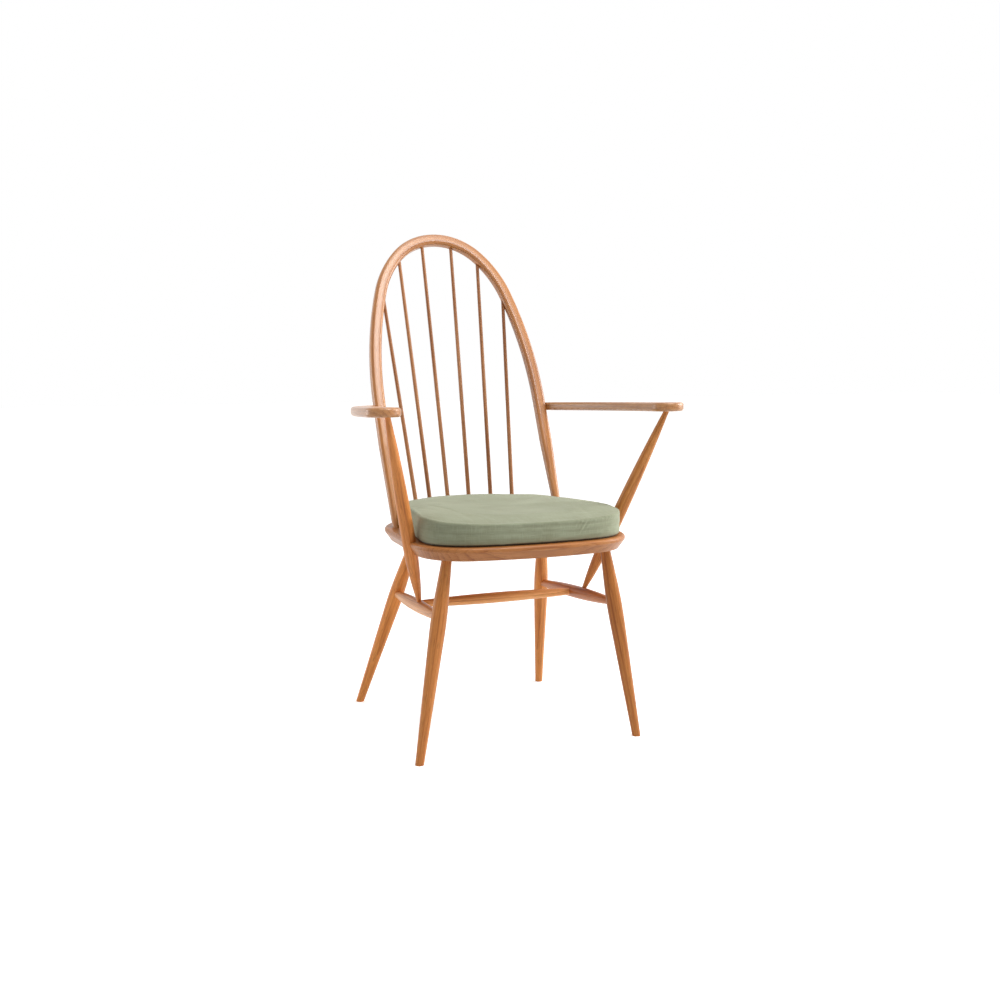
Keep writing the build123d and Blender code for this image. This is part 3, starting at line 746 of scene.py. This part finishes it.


# Sage cloth: uneven yarns both ways, faded patches and a soft nap, on the cushion's weave map;
# below a low height it is painted near black, painted shade for the gap under the cushion
cloth = {
    "sage": (0.315, 0.340, 0.232),
    "olive": (0.238, 0.251, 0.160),
    "toneStops": (0.44, 0.70),          # at olive and at sage
    "toneScale": 0.5,
    "yarn": (620, 55, 1.0),             # across and along a yarn, per metre, and detail
    "yarnShare": 0.8,
    "slub": (240, 14, 2.0),
    "slubShare": 0.6,
    "slubHeight": 0.6,
    "patch": (16, 3.0),                 # per metre, and detail
    "patchShare": 0.9,
    "roughness": (0.85, 1.0),           # on top of a yarn and between yarns
    "bump": 0.00035,
    "bumpStrength": 0.7,
    "specular": 0.25,
    "sheen": 0.45,
    "sheenRoughness": 0.5,
    "sheenTint": (0.75, 0.78, 0.66),
    # Painted shade: near-black twill low on the cover, where the gap under the cushion is in shadow
    "paintedShade": (0.028, 0.018, 0.011),
    "paintedShadePale": (0.055, 0.036, 0.022),
    "paintedShadeStops": (0.2, 0.8),
    "twill": 260,
    "twillWander": 1.5,
}


def sageCloth(paintedShadeTop):
    material, tree, shader = newMaterial("sage_cloth")
    place = addNode(tree, "UVMap", uv_map="weave").outputs["UV"]
    where = addNode(tree, "TexCoord").outputs["Object"]

    def yarns(kind, lengthwise):
        across, along, detail = cloth[kind]
        scale = (along, across, 1) if lengthwise else (across, along, 1)
        return noiseAt(tree, scaled(tree, place, scale), detail)

    weave = mathNode(tree, "MAXIMUM", yarns("yarn", True), yarns("yarn", False))
    slub = yarns("slub", True)
    patchScale, patchDetail = cloth["patch"]
    patch = noiseAt(tree, where, patchDetail, patchScale)
    slubTone = mathNode(tree, "MULTIPLY", slub, cloth["slubShare"])
    figure = mathNode(tree, "MULTIPLY_ADD", weave, cloth["yarnShare"], slubTone)
    figure = mathNode(tree, "MULTIPLY_ADD", patch, cloth["patchShare"], figure)
    figure = mathNode(tree, "MULTIPLY", figure, cloth["toneScale"])
    tone = ramp(tree, figure, list(zip(cloth["toneStops"], (cloth["olive"], cloth["sage"]))))
    # Painted shade: below the given height the cloth turns near-black twill
    twill = addNode(tree, "TexWave", {"Vector": place, "Scale": cloth["twill"],
                                      "Distortion": cloth["twillWander"]},
                    bands_direction="DIAGONAL").outputs["Fac"]
    paintedShade = ramp(tree, twill, list(zip(cloth["paintedShadeStops"], (cloth["paintedShade"], cloth["paintedShadePale"]))))
    under = mathNode(tree, "LESS_THAN", addNode(tree, "SeparateXYZ", {0: where}).outputs["Z"], paintedShadeTop)
    height = mathNode(tree, "MULTIPLY_ADD", slub, cloth["slubHeight"], weave)
    bump = addNode(tree, "Bump", {"Height": height, "Strength": cloth["bumpStrength"],
                                  "Distance": cloth["bump"]})
    onYarn, between = cloth["roughness"]
    rough = mathNode(tree, "MULTIPLY_ADD", weave, onYarn - between, between)
    tree.links.new(mixColours(tree, under, tone, paintedShade), shader.inputs["Base Color"])
    tree.links.new(rough, shader.inputs["Roughness"])
    tree.links.new(bump.outputs["Normal"], shader.inputs["Normal"])
    shader.inputs["Specular IOR Level"].default_value = cloth["specular"]
    shader.inputs["Sheen Weight"].default_value = cloth["sheen"]
    shader.inputs["Sheen Roughness"].default_value = cloth["sheenRoughness"]
    shader.inputs["Sheen Tint"].default_value = (*cloth["sheenTint"], 1)
    return material


def makeCushion():
    boxes = [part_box(name) for name in ("cushion_base_panel", "cushion_side_band", "cushion_top_panel")]
    lowest = np.min([box[0] for box in boxes], axis=0)
    highest = np.max([box[1] for box in boxes], axis=0)
    low = lowest[2]
    outline, run = shieldOutline(highest[0], lowest[1], highest[1], cushion["smaller"],
                                 cushion["outlineCount"])
    rings = cushionRings(outline, run, low)
    piece = addMesh("seat_cushion", withPoles(rings), tubeFaces(*rings.shape[:2]), "cushion")
    takeModified(piece, "REMESH", mode="VOXEL", voxel_size=cushion["voxel"], use_smooth_shade=True)
    points = meshPoints(piece.data)
    creaseFar, baseFar, along, place = seamDistances(points, low, outline, run)
    nearSeam = np.minimum(creaseFar, baseFar) < cushion["seamHold"]
    held = np.where(nearSeam, cushion["seamWeight"], 0)
    held = np.where(points[:, 2] < low + cushion["baseHold"], 1.0, held)
    inflated(piece, held)
    takeModified(piece, "SUBSURF", levels=1, render_levels=1)
    sewn(piece, low, outline, run)
    # The cover swells by a little at most, and stays on the seat
    points = meshPoints(piece.data)
    along, inside, length = aroundOutline(points, outline, run)
    away = points[:, :2] - middleOf(outline)
    over = np.maximum(-cushion["clear"] - inside, 0)
    points[:, :2] -= away / np.linalg.norm(away, axis=1)[:, None] * over[:, None]
    points[:, 2] = np.maximum(points[:, 2], low)
    setPoints(piece.data, points)
    print("cushion from", points.min(0).round(4), "to", points.max(0).round(4))
    clothMap(piece, outline, run)
    piece.data.materials.clear()
    # The cloth is painted near black low down, as shade under the cushion
    piece.data.materials.append(sageCloth(low + cushion["paintedShade"]))
    smoothShaded(piece.data)
    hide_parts("cushion_foam", "cushion_base_panel", "cushion_side_band", "cushion_top_panel")


makeCushion()
print("cushion filled")

# Floor, light and camera
stage = {
    "floor": (0.8, 0.8, 0.79),
    "floorSize": 30.0,
    "floorRoughness": 0.9,
    "floorLift": 0.60,          # what the camera and reflections see on top of the floor's own light
    "fill": 0.24,
    "sunFrom": (0.15, -0.2, 0.97),
    "sunPower": 1.1,
    "sunSpread": 45,
    "softboxPlace": (0.56, -1.38, 2.58),
    "softboxPower": 24,
    "softboxSize": (0.5, 0.9),
    "windowPlace": (2.6, -0.6, 1.5),
    "windowPower": 60,
    "windowSize": (1.5, 1.5),
    "rimlightPlace": (-2.3, 1.5, 0.9),
    "rimlightPower": 20,
    "rimlightSize": (1.2, 1.2),
    "aim": (0.0, 0.05, 0.6),
    "lens": 43.53,
    "sensor": 36,
    "cameraPlace": (-0.8933, -2.2389, 0.7375),
    "cameraTurn": (90 - 6.97, 0, -22.53),
}


def seenWhite(tree):
    # 1 for what the camera, reflections and glass see, 0 for the light that surfaces send each other
    path = addNode(tree, "LightPath").outputs
    seen = mathNode(tree, "MAXIMUM", path["Is Camera Ray"], path["Is Glossy Ray"])
    return mathNode(tree, "MAXIMUM", seen, path["Is Transmission Ray"])


def makeFloor():
    half = stage["floorSize"] / 2
    corners = [(-half, -half, 0), (half, -half, 0), (half, half, 0), (-half, half, 0)]
    mesh = bpy.data.meshes.new("floor")
    mesh.from_pydata(corners, [], [(0, 1, 2, 3)])
    floor = bpy.data.objects.new("floor", mesh)
    scene.collection.objects.link(floor)
    material, tree, shader = newMaterial("floor_white")
    shader.inputs["Base Color"].default_value = (*stage["floor"], 1)
    shader.inputs["Roughness"].default_value = stage["floorRoughness"]
    shader.inputs["Emission Color"].default_value = (1, 1, 1, 1)
    lift = mathNode(tree, "MULTIPLY", seenWhite(tree), stage["floorLift"])
    tree.links.new(lift, shader.inputs["Emission Strength"])
    mesh.materials.append(material)


def makeWorld():
    # White where it is seen, and an even fill for everything else
    world = bpy.data.worlds.new("studio")
    world.use_nodes = True
    scene.world = world
    tree = world.node_tree
    background = tree.nodes["Background"]
    strength = mathNode(tree, "MULTIPLY_ADD", seenWhite(tree), 1 - stage["fill"], stage["fill"])
    tree.links.new(strength, background.inputs["Strength"])
    background.inputs["Color"].default_value = (1, 1, 1, 1)


def addLamp(name, kind, place, aim, power):
    light = bpy.data.lights.new(name, kind)
    light.energy = power
    lamp = bpy.data.objects.new(name, light)
    lamp.location = place
    lamp.rotation_euler = (Vector(aim) - Vector(place)).to_track_quat("-Z", "Y").to_euler()
    scene.collection.objects.link(lamp)
    return light


def makeLamps():
    # Broad light from above, a softbox in front whose sheen lies on the bow, a window and a rim light
    overhead = addLamp("overhead", "SUN", stage["sunFrom"], (0, 0, 0), stage["sunPower"])
    overhead.angle = math.radians(stage["sunSpread"])
    for name in ("softbox", "window", "rimlight"):
        lamp = addLamp(name, "AREA", stage[name + "Place"], stage["aim"], stage[name + "Power"])
        lamp.shape = "RECTANGLE"
        lamp.size, lamp.size_y = stage[name + "Size"]


def makeCamera():
    camera = bpy.data.objects.new("camera", bpy.data.cameras.new("camera"))
    camera.data.lens = stage["lens"]
    camera.data.sensor_width = stage["sensor"]
    camera.location = stage["cameraPlace"]
    camera.rotation_euler = [math.radians(turn) for turn in stage["cameraTurn"]]
    scene.collection.objects.link(camera)
    scene.camera = camera


makeFloor()
makeWorld()
makeLamps()
makeCamera()
print("stage set")
